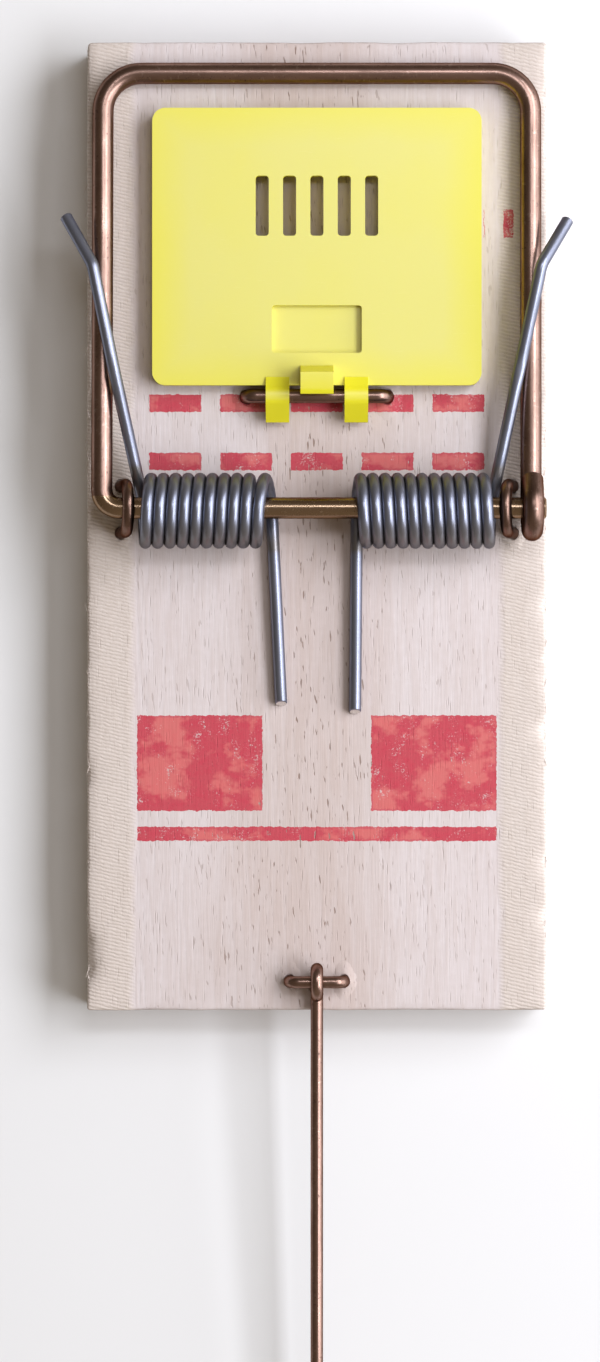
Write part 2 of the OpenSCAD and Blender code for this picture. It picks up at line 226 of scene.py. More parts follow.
class Finish:
    """A material under construction."""

    def __init__(self, name):
        self.material = bpy.data.materials.new(name)
        self.material.use_nodes = True
        self.tree = self.material.node_tree
        self.shader = self.tree.nodes["Principled BSDF"]

    def node(self, kind, settings=None, *values, out=0, **named):
        """A node of that kind: its settings first, then the values or links of its sockets."""
        made = self.tree.nodes.new(kind)
        for key, value in (settings or {}).items():
            setattr(made, key, value)
        for index, value in enumerate(values):
            self._feed(made.inputs[index], value)
        for key, value in named.items():
            self._feed(made.inputs[key.replace("_", " ")], value)
        return Channel(self, made.outputs[out])

    def _feed(self, socket, value):
        if isinstance(value, Channel):
            self.tree.links.new(value.socket, socket)
        elif value is not None:
            socket.default_value = value

    def _in_mm(self, place):
        return self.node("ShaderNodeVectorMath", {"operation": "SCALE"}, place, Scale=1 / MM)

    def object_mm(self):
        """Object coordinates in millimetres."""
        return self._in_mm(self.node("ShaderNodeTexCoord", out="Object"))

    def lay_mm(self):
        """A wire's own coordinates in millimetres: across it in X and Y, and along it in Z."""
        return self._in_mm(self.node("ShaderNodeAttribute", {"attribute_name": LAY}, out="Vector"))

    def stretch(self, place, x, y, z):
        return self.node("ShaderNodeVectorMath", {"operation": "MULTIPLY"}, place, (x, y, z))

    def axes(self, place):
        split = self.node("ShaderNodeSeparateXYZ", None, place)
        return [Channel(self, output) for output in split.socket.node.outputs]

    def noise(self, place, scale, detail=3.0, roughness=0.55):
        return self.node(
            "ShaderNodeTexNoise", None, Vector=place, Scale=scale, Detail=detail, Roughness=roughness
        )

    def cells(self, place, scale):
        return self.node("ShaderNodeTexVoronoi", None, Vector=place, Scale=scale)

    def mix(self, share, first, second):
        """A colour between two others."""
        made = self.tree.nodes.new("ShaderNodeMix")
        made.data_type = "RGBA"
        made.clamp_factor = True
        for socket, value in ((0, share), (6, first), (7, second)):
            if not isinstance(value, Channel) and socket:
                value = (*value, 1.0) if len(value) == 3 else value
            self._feed(made.inputs[socket], value)
        return Channel(self, made.outputs[2])

    def bump(self, height, distance, strength):
        return self.node("ShaderNodeBump", None, Strength=strength, Distance=distance, Height=height)

    def shade(self, **named):
        """Feeds the shader's sockets and returns the material."""
        for key, value in named.items():
            self._feed(self.shader.inputs[key.replace("_", " ")], value)
        return self.material


def finishes():
    return bpy.context.scene.trap_colours


def made_once(maker):
    """The material that maker builds, built only at the first call."""
    return functools.cache(lambda: maker(Finish(maker.__name__)))


# The print, in millimetres from the board's middle: each bar's x, y, width and height.
DASHED_BARS = ((0, 22.6, 66, 3.2), (0, 11.9, 66, 3.2), (33.4, 55.6, 5.5, 5.2))
SOLID_BARS = ((-21.5, -43.5, 23, 17.5), (21.5, -43.5, 23, 17.5), (0, -56.5, 66, 2.6))
DASH_LENGTH, DASH_PITCH = 9.5, 13.0
SQUEEZED_EDGE = 0.36

# Tones that the finishes shade into.
PALE_FIBRE, DARK_FIBRE = (0.80, 0.72, 0.65), (0.53, 0.44, 0.36)
POOLED_INK = (0.30, 0.004, 0.03)
DIRT = (0.36, 0.28, 0.22)
TARNISH = (0.07, 0.042, 0.032)
SCRAPED_COPPER = (0.60, 0.45, 0.38)
BRONZE = (0.33, 0.23, 0.15)
BLUE_BLACK = (0.09, 0.10, 0.13)
WORN_STEEL = (0.26, 0.28, 0.34)
# Painted shade for the coils' flanks.
PAINTED_FLANK_SHADE = (0.19, 0.165, 0.125)
RUST = (0.10, 0.06, 0.04)
SHEAR_SHADE = (0.36, 0.33, 0.31)
SCUFFED_PLASTIC = (0.86, 0.83, 0.42)


def board_print(x, y, inset=0.0):
    """Mask of the plain stamped bars and dashes on the board's top, without their wear."""

    def covered(bars):
        masks = [
            (abs(x - middle_x) < width / 2 - inset) * (abs(y - middle_y) < height / 2 - inset)
            for middle_x, middle_y, width, height in bars
        ]
        return functools.reduce(Channel.most, masks)

    dashes = (x + DASH_LENGTH / 2 - inset).wrap(DASH_PITCH) < DASH_LENGTH - 2 * inset
    return (covered(DASHED_BARS) * dashes).most(covered(SOLID_BARS))


@made_once
def sawn_wood(finish):
    """Pale beech: long soft grain, short dark flecks, saw fuzz at the sides and worn red stamping."""
    tones = finishes()
    place = finish.object_mm()
    x, y, z = finish.axes(place)
    facing = finish.axes(finish.node("ShaderNodeNewGeometry", out="Normal"))
    on_top = facing[2].ease(0.7, 0.95)
    on_side = abs(facing[0]).ease(0.7, 0.95)
    on_end = abs(facing[1]).ease(0.7, 0.95)

    figure = finish.noise(finish.stretch(place, 0.16, 0.014, 0.16), 1.0, 4.0, 0.6)
    bands = ((figure * 46).sine() * 0.5 + 0.5) * 0.55 + figure * 0.45
    grain = finish.noise(finish.stretch(place, 3.4, 0.12, 3.4), 1.0, 4.0, 0.65)
    patches = finish.noise(finish.stretch(place, 0.06, 0.02, 0.06), 1.0, 2.0, 0.5)
    slanted = finish.node("ShaderNodeCombineXYZ", None, x * 2.1 + y * 0.14, y * 0.36, z * 2.1)
    # Painted shade: the wood is darkened down the board's middle, between the springs' legs; the same
    # band also holds more of the dark flecks.
    middle_shade_and_flecks = (abs(x + (patches - 0.5) * 30)).ease(19, 7)
    flecks = finish.noise(slanted, 1.0, 2.0, 0.45).ease(0.665, 0.715) * (middle_shade_and_flecks * 0.65 + 0.35)
    pores = finish.cells(finish.stretch(place, 2.1, 0.16, 2.1), 1.0).ease(0.20, 0.10)
    tone = finish.mix(bands * 0.30 + patches * 0.12 + middle_shade_and_flecks * 0.46, tones.wood, tones.wood_dark)
    tone = finish.mix((grain - 0.5) * 0.55 + 0.10, tone, tones.wood_dark)
    tone = finish.mix(flecks * 0.8, tone, tones.wood_fleck)
    tone = finish.mix(pores * 0.22, tone, tones.wood_fleck)

    # Planer ripple and raised fibres beside the two long edges.
    ripple = (y * 9.4 + x * 2.2 + finish.noise(place, 0.9, 2.0) * 5).sine() * 0.5 + 0.5
    fibres = finish.noise(finish.stretch(place, 1.1, 5.5, 1.1), 1.0, 3.0, 0.7)
    fuzz = abs(x + finish.noise(place, 0.25, 2.0) * 1.6 - 0.8).ease(33.2, 34.6).most(on_side)
    pale = finish.mix(ripple * 0.5 + fibres * 0.6 - 0.25, PALE_FIBRE, DARK_FIBRE)
    tone = finish.mix(fuzz * 0.72, tone, pale)

    # End grain is darker, and shows the growth rings across the board.
    rings = (finish.noise(finish.stretch(place, 0.05, 0.0, 0.28), 1.0, 2.0) * 70).sine() * 0.5 + 0.5
    tone = finish.mix(on_end * (rings * 0.35 + 0.25), tone, tones.wood_fleck)

    # Stamped ink, thin where the grain stands up and missing in speckles.
    speckle = finish.noise(place, 2.6, 3.0, 0.75)
    blotch = finish.noise(finish.stretch(place, 0.35, 0.22, 0.35), 1.0, 3.0, 0.6)
    ragged_x = x + (finish.noise(place, 1.3, 3.0) - 0.5) * 0.7
    ragged_y = y + (finish.noise(place, 1.1, 3.0) - 0.45) * 0.8
    cover = (speckle * 0.6 + blotch * 0.5 - flecks * 0.2 - fuzz * 0.08).ease(0.36, 0.46)
    stamp = board_print(ragged_x, ragged_y)
    ink = stamp * cover * on_top
    pooled = finish.noise(finish.stretch(place, 0.11, 0.13, 0.11), 1.0, 4.0, 0.65).ease(0.42, 0.50)
    squeezed = stamp - board_print(ragged_x, ragged_y, SQUEEZED_EDGE)
    inked = finish.mix((pooled * 0.9).most(squeezed * 0.7), tones.ink_thin, tones.ink)
    inked = finish.mix(speckle.ease(0.58, 0.64) * pooled * 0.6, inked, POOLED_INK)
    tone = finish.mix(ink * (pooled * 0.07 + 0.93), tone, inked)

    # Handling dirt in the corners and along the arrises.
    half_width, half_length, thickness = BOARD_HIGH.x / MM, BOARD_HIGH.y / MM, BOARD_TOP / MM
    rim = (half_width - abs(x)).least(half_length - abs(y)).least(z).least(thickness - z)
    grime = (1.4 - rim + finish.noise(place, 0.7, 3.0) * 1.4).ease(0.7, 2.2) * 0.22
    tone = finish.mix(grime, tone, DIRT)

    relief = grain * 0.5 + bands * 0.25 - flecks * 0.6 - pores * 0.5
    saw = (y * 5.2 + z * 0.6).sine() * on_side * 0.5
    weave = (ripple * 0.9 + fibres * 0.8) * fuzz
    normal = finish.bump(relief + weave + saw - ink * 0.15, 0.00012, 0.8)
    rough = 0.62 + grain * 0.18 - ink * 0.12
    return finish.shade(Base_Color=tone, Roughness=rough, Normal=normal, Specular_IOR_Level=0.15)


def drawn_lines(finish, lay):
    """Fine lines along a drawn wire, and short marks across it."""
    lines = finish.noise(finish.stretch(lay, 7.0, 7.0, 0.08), 1.0, 3.0, 0.7)
    marks = finish.noise(finish.stretch(lay, 1.2, 1.2, 1.6), 1.0, 3.0, 0.6)
    return lines, marks


@made_once
def copper_wash(finish):
    """Steel wire with a thin pinkish copper wash, dull where it was handled and rubbed at the bends,
    with painted shade near the axle.
    """
    tones = finishes()
    lay = finish.lay_mm()
    lines, marks = drawn_lines(finish, lay)
    clouds = finish.noise(finish.stretch(lay, 0.5, 0.5, 0.10), 1.0, 4.0, 0.6)
    spots = finish.noise(lay, 1.9, 3.0, 0.6).ease(0.62, 0.70)
    _, y, z = finish.axes(finish.object_mm())
    off_axle = abs(y - AXLE.y / MM).most(abs(z - AXLE.z / MM))
    # Handled dullness, plus painted shade that darkens the copper within a few millimetres of the axle,
    # on the eye, the arms' roots and the staples.
    dull = (clouds - 0.5) * 1.6 + (lines - 0.5) * 0.7 + 0.30 + off_axle.ease(9, 6) * 0.25
    tone = finish.mix(dull, tones.copper, tones.copper_dull_and_shade)
    tone = finish.mix(spots * 0.55, tone, TARNISH)
    tone = finish.mix(marks.ease(0.60, 0.72) * 0.35, tone, SCRAPED_COPPER)

    # The coils have rubbed the axle to a dull bronze.
    rubbed = (off_axle - bpy.context.scene.trap_sizes.bar_wire / 2 / MM).ease(0.3, 0.1)
    tone = finish.mix(rubbed * 0.9, tone, BRONZE)
    rough = 0.27 + dull * 0.10 + spots * 0.25 - rubbed * 0.10
    relief = (lines * 0.6 + marks * 0.5 - spots * 0.3) * (1 - rubbed * 0.8)
    normal = finish.bump(relief, 0.000004, 0.6)
    return finish.shade(
        Base_Color=tone, Metallic=1.0, Roughness=rough, Normal=normal,
        Specular_Tint=(0.25, 0.2, 0.18, 1.0),
    )


@made_once
def blued_spring_steel(finish):
    """Oil-tempered spring wire: dark blue-grey, with faint die lines and worn crests."""
    tones = finishes()
    lay = finish.lay_mm()
    lines, marks = drawn_lines(finish, lay)
    clouds = finish.noise(finish.stretch(lay, 0.4, 0.4, 0.07), 1.0, 4.0, 0.6)
    tone = finish.mix((clouds - 0.4) * 1.3, tones.steel, BLUE_BLACK)
    tone = finish.mix((lines - 0.52) * 1.0, tone, WORN_STEEL)

    # Painted shade: the coils' front and rear flanks, which turn away from the top light, are painted a
    # brownish grey that stands for the warm room they reflect.
    _, y, _ = finish.axes(finish.object_mm())
    ahead = abs(y - AXLE.y / MM)
    painted_flank_shade = ahead.ease(2.6, 6.2) * ahead.ease(8.4, 7.4)
    tone = finish.mix(painted_flank_shade * 0.6, tone, PAINTED_FLANK_SHADE)
    rust = finish.noise(lay, 1.2, 4.0, 0.7).ease(0.66, 0.76)
    tone = finish.mix(rust * 0.35, tone, RUST)
    rough = 0.30 + clouds * 0.07 + rust * 0.2
    normal = finish.bump(lines * 0.7 + marks * 0.3, 0.000003, 0.5)
    return finish.shade(
        Base_Color=tone, Metallic=0.85, Roughness=rough, Normal=normal,
        Specular_Tint=(0.4, 0.4, 0.45, 1.0),
    )


@made_once
def sheared_steel(finish):
    """Bright end of a cut wire, with the shear's lines across it."""
    place = finish.object_mm()
    x, y, z = finish.axes(place)
    lines = ((x + z * 0.7 + finish.noise(place, 1.5, 2.0)) * 16).sine() * 0.5 + 0.5
    tone = finish.mix(lines * 0.35, finishes().cut_steel, SHEAR_SHADE)
    return finish.shade(
        Base_Color=tone, Metallic=1.0, Roughness=0.34, Normal=finish.bump(lines, 0.00001, 0.5)
    )


@made_once
def moulded_plastic(finish):
    """Yellow moulded plastic: soft flow marks, fine texture and light scuffs, with a paler painted sheen
    on its flat face away from its edges.
    """
    place = finish.object_mm()
    x, y, _ = finish.axes(place)
    flow = finish.noise(finish.stretch(place, 0.05, 0.03, 0.1), 1.0, 3.0, 0.5)
    pebble = finish.noise(place, 3.4, 2.0, 0.5)
    scuffs = finish.noise(finish.stretch(place, 0.35, 4.5, 1.0), 1.0, 3.0, 0.7).ease(0.64, 0.72)
    facing = finish.axes(finish.node("ShaderNodeNewGeometry", out="Normal"))
    # Painted sheen: the flat top face is painted paler, more so away from the edges, patchy with the
    # flow marks.
    inside = (PEDAL_HIGH.x / MM - abs(x)).least(PEDAL_HIGH.y / MM - y).least(y - PLATE_REAR / MM)
    painted_sheen = facing[2].ease(0.93, 0.995) * (flow * 0.9 + 0.5) * (inside.ease(0, 7) * 0.55 + 0.45)
    tone = finish.mix(painted_sheen, finishes().plastic, finishes().plastic_sheen)
    tone = finish.mix(scuffs * 0.12, tone, SCUFFED_PLASTIC)
    normal = finish.bump(pebble * 0.5 - scuffs * 0.4, 0.000012, 0.5)
    return finish.shade(
        Base_Color=tone, Roughness=0.30 + pebble * 0.08 + scuffs * 0.12, Normal=normal,
        Subsurface_Weight=0.08, Subsurface_Radius=(0.8 * MM, 0.6 * MM, 0.1 * MM), Subsurface_Scale=1.0,
    )


@made_once
def studio_floor(finish):
    place = finish.object_mm()
    cloud = finish.noise(place, 0.004, 2.0)
    base = tuple(finishes().floor)
    tone = finish.mix(cloud, base, tuple(c * 0.985 for c in base))
    return finish.shade(Base_Color=tone, Roughness=0.75, Specular_IOR_Level=0.2)


# ---- meshes ----------------------------------------------------------------------------------

LAY = "lay"  # attribute that keeps each point's place on the straight wire


class BentWire:
    """A round wire bent in steps, as on a bench.

    Its open end is a ring of edges, which is run out straight or spun round a bend. side is the
    way in which the next bend turns.
    """

    chamfer = 0.16  # share of the radius that is lost at a sheared end

    def __init__(self, diameter, start, along, side, sides=24):
        self.mesh = bmesh.new()
        self.layer = self.mesh.verts.layers.float_vector.new(LAY)
        self.radius = diameter / 2
        self.point = Vector(start)
        self.along = Vector(along).normalized()
        self.side = Vector(side).normalized()
        self.length = 0.0
        facing = Matrix((self.side, self.along.cross(self.side), self.along)).transposed().to_4x4()
        made = bmesh.ops.create_circle(
            self.mesh, cap_ends=False, segments=sides, radius=self.radius * (1 - self.chamfer),
            matrix=Matrix.Translation(self.point) @ facing,
        )
        for vert in made["verts"]:
            off = vert.co - self.point
            vert[self.layer] = (off.dot(self.side), off.dot(self.along.cross(self.side)), 0)
        self.ring = list({edge for vert in made["verts"] for edge in vert.link_edges})
        bmesh.ops.edgeloop_fill(self.mesh, edges=self.ring)
        self._widen(1 / (1 - self.chamfer))

    def _ring_verts(self):
        return list({vert for edge in self.ring for vert in edge.verts})

    def _advance(self, geometry, length):
        """Takes the new ring and notes how far along the wire it lies."""
        verts = {item for item in geometry if isinstance(item, bmesh.types.BMVert)}
        self.ring = [
            item for item in geometry
            if isinstance(item, bmesh.types.BMEdge) and all(vert in verts for vert in item.verts)
        ]
        self.length += length
        for vert in verts:
            vert[self.layer].z = self.length

    def _widen(self, factor):
        """Runs out by one chamfer and scales the ring."""
        self.run(self.radius * self.chamfer)
        bmesh.ops.scale(
            self.mesh, vec=(factor,) * 3, verts=self._ring_verts(), space=Matrix.Translation(-self.point)
        )

    def run(self, length, cuts=1):
        for _ in range(cuts):
            step = self.along * (length / cuts)
            made = bmesh.ops.extrude_edge_only(self.mesh, edges=self.ring)["geom"]
            verts = [item for item in made if isinstance(item, bmesh.types.BMVert)]
            bmesh.ops.translate(self.mesh, vec=step, verts=verts)
            self.point += step
            self._advance(made, length / cuts)
        return self

    def roll(self, angle):
        self.side = Matrix.Rotation(angle, 3, self.along) @ self.side
        return self

    def bend(self, radius, angle, steps=None):
        """Bends towards side."""
        steps = steps or max(2, round(abs(angle) / math.radians(6)))
        axis = self.along.cross(self.side)
        centre = self.point + self.side * radius
        return self.spin(centre, axis, angle, steps, Vector(), radius)

    def spin(self, centre, axis, angle, steps, lead, radius):
        """Turns the ring about an axis; lead is how far it moves along the axis in all."""
        step_turn = Matrix.Rotation(angle / steps, 3, axis)
        for _ in range(steps):
            made = bmesh.ops.spin(
                self.mesh, geom=self.ring + self._ring_verts(), cent=centre, axis=axis,
                dvec=lead / steps, angle=angle / steps, steps=1, use_duplicate=False, use_merge=False,
                use_normal_flip=False,
            )["geom_last"]
            self.point = centre + step_turn @ (self.point - centre) + lead / steps
            self.along = step_turn @ self.along
            self.side = step_turn @ self.side
            self._advance(made, radius * abs(angle) / steps)
        return self

    def aim(self, way, radius):
        """Bends into a new direction."""
        way = Vector(way).normalized()
        across = way - self.along * way.dot(self.along)
        if across.length > 1e-6:
            self.side = across.normalized()
            self.bend(radius, self.along.angle(way), 4)
        return self

    def close(self):
        """Shears the wire off and returns its mesh."""
        self._widen(1 - self.chamfer)
        bmesh.ops.edgeloop_fill(self.mesh, edges=self.ring)
        bmesh.ops.recalc_face_normals(self.mesh, faces=self.mesh.faces)
        for face in self.mesh.faces:
            face.material_index = int(len(face.verts) > 4)
        return self.mesh


def finished_piece(name, mesh, materials, body=None, replaces=(), sharp=35, flat_faces=False):
    """Makes an object of a bmesh, smooth but for its sharp edges, and lets it ride on a body."""
    data = bpy.data.meshes.new(name)
    mesh.to_mesh(data)
    mesh.free()
    data.shade_smooth()
    data.set_sharp_from_angle(angle=math.radians(sharp))
    for material in materials:
        data.materials.append(material)
    piece = bpy.data.objects.new(name, data)
    bpy.context.scene.collection.objects.link(piece)
    if flat_faces:
        piece.modifiers.new("flat faces", "WEIGHTED_NORMAL").keep_sharp = True
    if body:
        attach(piece, body)
    if replaces:
        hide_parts(*replaces)
    return piece


def wire_materials(body_material):
    return [body_material(), sheared_steel()]


STAPLE_WIRE = LOCK_STAPLE_HIGH.y - LOCK_STAPLE_LOW.y
STAPLE_LEAN = math.radians(10)
CROWN_RADIUS = (AXLE_STAPLE_HIGH.y - AXLE_STAPLE_LOW.y - STAPLE_WIRE) / 2
CROWN_RISE = (AXLE_STAPLE_HIGH.z - STAPLE_WIRE / 2 - AXLE.z) / math.cos(STAPLE_LEAN)


def axle_staple_frame(side):
    """The leaning frame of an axle staple, with its origin on the axle."""
    x = AXLE_STAPLE_LOW.x + STAPLE_WIRE / 2 + CROWN_RISE * math.sin(STAPLE_LEAN)
    return Matrix.Translation((side * x, AXLE.y, AXLE.z)) @ Matrix.Rotation(-side * STAPLE_LEAN, 4, "Y")


def staple_places():
    """(x, y, leg radius) of each staple leg in the board's top."""
    pedal_leg = (PEDAL_STAPLE_HIGH.y - PEDAL_STAPLE_LOW.y) / 2
    foot = (AXLE.z - BOARD_TOP) / math.cos(STAPLE_LEAN)
    places = []
    for side in (-1, 1):
        for end in (-1, 1):
            leg = axle_staple_frame(side) @ Vector((0, end * CROWN_RADIUS, -foot))
            places.append((leg.x, leg.y, STAPLE_WIRE / 2))
    for leg, high in ((pedal_leg, PEDAL_STAPLE_HIGH), (STAPLE_WIRE / 2, LOCK_STAPLE_HIGH)):
        places += [(side * (high.x - leg), high.y - leg, leg) for side in (-1, 1)]
    return places


class SNAPTRAP_OT_board(bpy.types.Operator):
    """Board of sawn wood with worn edges, lifted fibres round the staples and loose splinters"""

    bl_idname = "snap_trap.board"
    bl_label = "Board"

    seed = 7
    slices = (40, 110, 7)  # along X, Y and Z
    nick_count = 26
    worn_band = 2.2 * MM
    skin = 1.3 * MM
    collar = ((0.98, 0.32), (1.25, 0.30), (1.75, 0.10), (2.3, -0.06))  # in leg radii, and in mm

    def execute(self, context):
        draw = random.Random(self.seed)
        self.make_board(context.scene.trap_sizes.edge_wear, draw)
        self.make_collars(draw)
        self.make_splinters(context.scene.trap_sizes.splinters, draw)
        return {"FINISHED"}

    def make_board(self, wear, draw):
        size = BOARD_HIGH - BOARD_LOW
        middle = (BOARD_HIGH + BOARD_LOW) / 2
        mesh = bmesh.new()
        place = Matrix.Translation(middle) @ Matrix.Diagonal((*size, 1))
        bmesh.ops.create_cube(mesh, size=1, matrix=place)
        for axis, cuts in enumerate(self.slices):
            self.slice_up(mesh, axis, BOARD_LOW[axis], size[axis], cuts)
        arrises = [
            edge for edge in mesh.edges
            if len(edge.link_faces) == 2 and edge.calc_face_angle() > math.radians(60)
        ]
        bmesh.ops.bevel(
            mesh, geom=arrises, offset=wear, offset_type="OFFSET", segments=3, profile=0.5,
            affect="EDGES", material=-1, clamp_overlap=True,
        )
        self.wear_down(mesh, draw)
        finished_piece("board", mesh, [sawn_wood()], "base", ["base_board"], sharp=70)

    @staticmethod
    def slice_up(mesh, axis, start, size, cuts):
        normal = Vector([float(axis == k) for k in range(3)])
        for k in range(1, cuts):
            geometry = mesh.verts[:] + mesh.edges[:] + mesh.faces[:]
            cut = normal * (start + size * k / cuts)
            bmesh.ops.bisect_plane(mesh, geom=geometry, plane_co=cut, plane_no=normal, dist=1e-7)

    def wear_down(self, mesh, draw):
        """Draws the surface in a little: ragged along the arrises, nicked here and there."""
        middle = (BOARD_HIGH + BOARD_LOW) / 2
        half = (BOARD_HIGH - BOARD_LOW) / 2
        nicks = []
        for _ in range(self.nick_count):
            side = draw.choice((-1, 1))
            along = draw.uniform(BOARD_LOW.y, BOARD_HIGH.y)
            nicks.append((Vector((side * half.x, along, BOARD_TOP)), draw.uniform(1.2, 3.2) * MM))
        for vert in mesh.verts:
            off = vert.co - middle
            inset = [half[k] - abs(off[k]) for k in range(3)]
            edge = max(0.0, 1 - sorted(inset)[1] / self.worn_band)
            grain = noise.noise(Vector((off.x / 1.5, off.y / 9, off.z / 1.5)) / MM)
            ragged = noise.noise(Vector((off.x / 4, off.y / 2.1, off.z / 4)) / MM)
            depth = (0.035 * grain + edge * (0.16 + 0.22 * ragged)) * MM
            for place, reach in nicks:
                gap = (vert.co - place).length / reach
                if gap < 1:
                    depth += (1 - gap) ** 2 * 0.30 * reach
            inward = [-math.copysign(1, off[k]) if inset[k] < self.skin else 0 for k in range(3)]
            vert.co += Vector(inward) * max(depth, 0)

    def make_collars(self, draw):
        """Low rings of fibre that the staples pushed up as they went in."""
        mesh = bmesh.new()
        for x, y, leg in staple_places():
            rings = []
            for reach, height in self.collar:
                made = bmesh.ops.create_circle(
                    mesh, cap_ends=False, segments=22, radius=leg * reach,
                    matrix=Matrix.Translation((x, y, BOARD_TOP + height * MM)),
                )["verts"]
                for vert in made:
                    along = abs(vert.co.y - y) / leg
                    vert.co.z += draw.uniform(-0.10, 0.12) * MM * (height > 0)
                    vert.co.y += (vert.co.y - y) * 0.25 * along
                rings.append(list({edge for vert in made for edge in vert.link_edges}))
            for inner, outer in zip(rings, rings[1:]):
                bmesh.ops.bridge_loops(mesh, edges=inner + outer)
        bmesh.ops.recalc_face_normals(mesh, faces=mesh.faces)
        finished_piece("lifted_fibre", mesh, [sawn_wood()], "base", sharp=180)

    @staticmethod
    def make_splinters(count, draw):
        """Fine fibres that stand off the long edges, root in the wood."""
        mesh = bmesh.new()
        for _ in range(count):
            side = draw.choice((-1, 1))
            length = draw.uniform(0.9, 3.4) * MM
            thick = draw.uniform(0.05, 0.11) * MM
            lean = draw.uniform(0.10, 0.42)
            y = draw.uniform(BOARD_LOW.y + 2 * MM, BOARD_HIGH.y - 2 * MM)
            z = BOARD_TOP - draw.uniform(0.25, 1.3) * MM
            way = Vector((side * lean, draw.choice((-1, 1)), draw.uniform(-0.12, 0.20))).normalized()
            root = Vector((side * (BOARD_HIGH.x - 0.45 * MM), y, z))
            turn = way.to_track_quat("Z", "Y").to_matrix().to_4x4()
            bmesh.ops.create_cone(
                mesh, cap_ends=True, segments=5, radius1=thick, radius2=thick * 0.15, depth=length,
                matrix=Matrix.Translation(root + way * length / 2) @ turn,
            )
        finished_piece("splinters", mesh, [sawn_wood()], "base")


class SNAPTRAP_OT_kill_bar(bpy.types.Operator):
    """Kill bar of one wire: axle, left arm, striking bar, right arm and the eye round the axle"""

    bl_idname = "snap_trap.kill_bar"
    bl_label = "Kill bar"

    root_radius = 3.3 * MM
    eye_play = 0.2 * MM
    tail = 3.7 * MM

    def execute(self, context):
        sizes = context.scene.trap_sizes
        wire = sizes.bar_wire
        arm_x = -BAR_LOW.x - wire / 2
        axle_end = BAR_HIGH.x
        reach, tilt = self.reach_and_tilt(wire)
        eye = wire + self.eye_play
        ahead = Matrix.Rotation(-tilt, 3, RIGHT) @ FORWARD
        bar = BentWire(wire, (axle_end, AXLE.y, AXLE.z), -RIGHT, ahead)
        bar.run(axle_end + arm_x - self.root_radius - bar.length, 8)
        bar.bend(self.root_radius, math.radians(90))
        bar.run(reach - self.root_radius - sizes.corner_radius, 8)
        bar.bend(sizes.corner_radius, math.radians(90))
        bar.run(2 * arm_x - 2 * sizes.corner_radius, 8)
        bar.roll(math.asin(eye / reach)).bend(sizes.corner_radius, math.radians(90))
        bar.run(math.sqrt(reach**2 - eye**2) - sizes.corner_radius, 8)
        bar.roll(math.radians(-90)).bend(eye, sizes.eye_wrap)
        bar.run(self.tail - wire / 2 * bar.chamfer)
        finished_piece(
            "kill_bar_wire", bar.close(), wire_materials(copper_wash), "hammer",
            ["kill_bar"],
        )
        return {"FINISHED"}

    @staticmethod
    def reach_and_tilt(wire):
        """Distance from the axle to the striking bar, and the slope of the bar's plane."""
        strike_z = BAR_LOW.z + wire / 2
        drop = AXLE.z - strike_z
        ahead = BAR_HIGH.y - wire / 2 - AXLE.y
        return math.hypot(ahead, drop), math.atan2(drop, ahead)


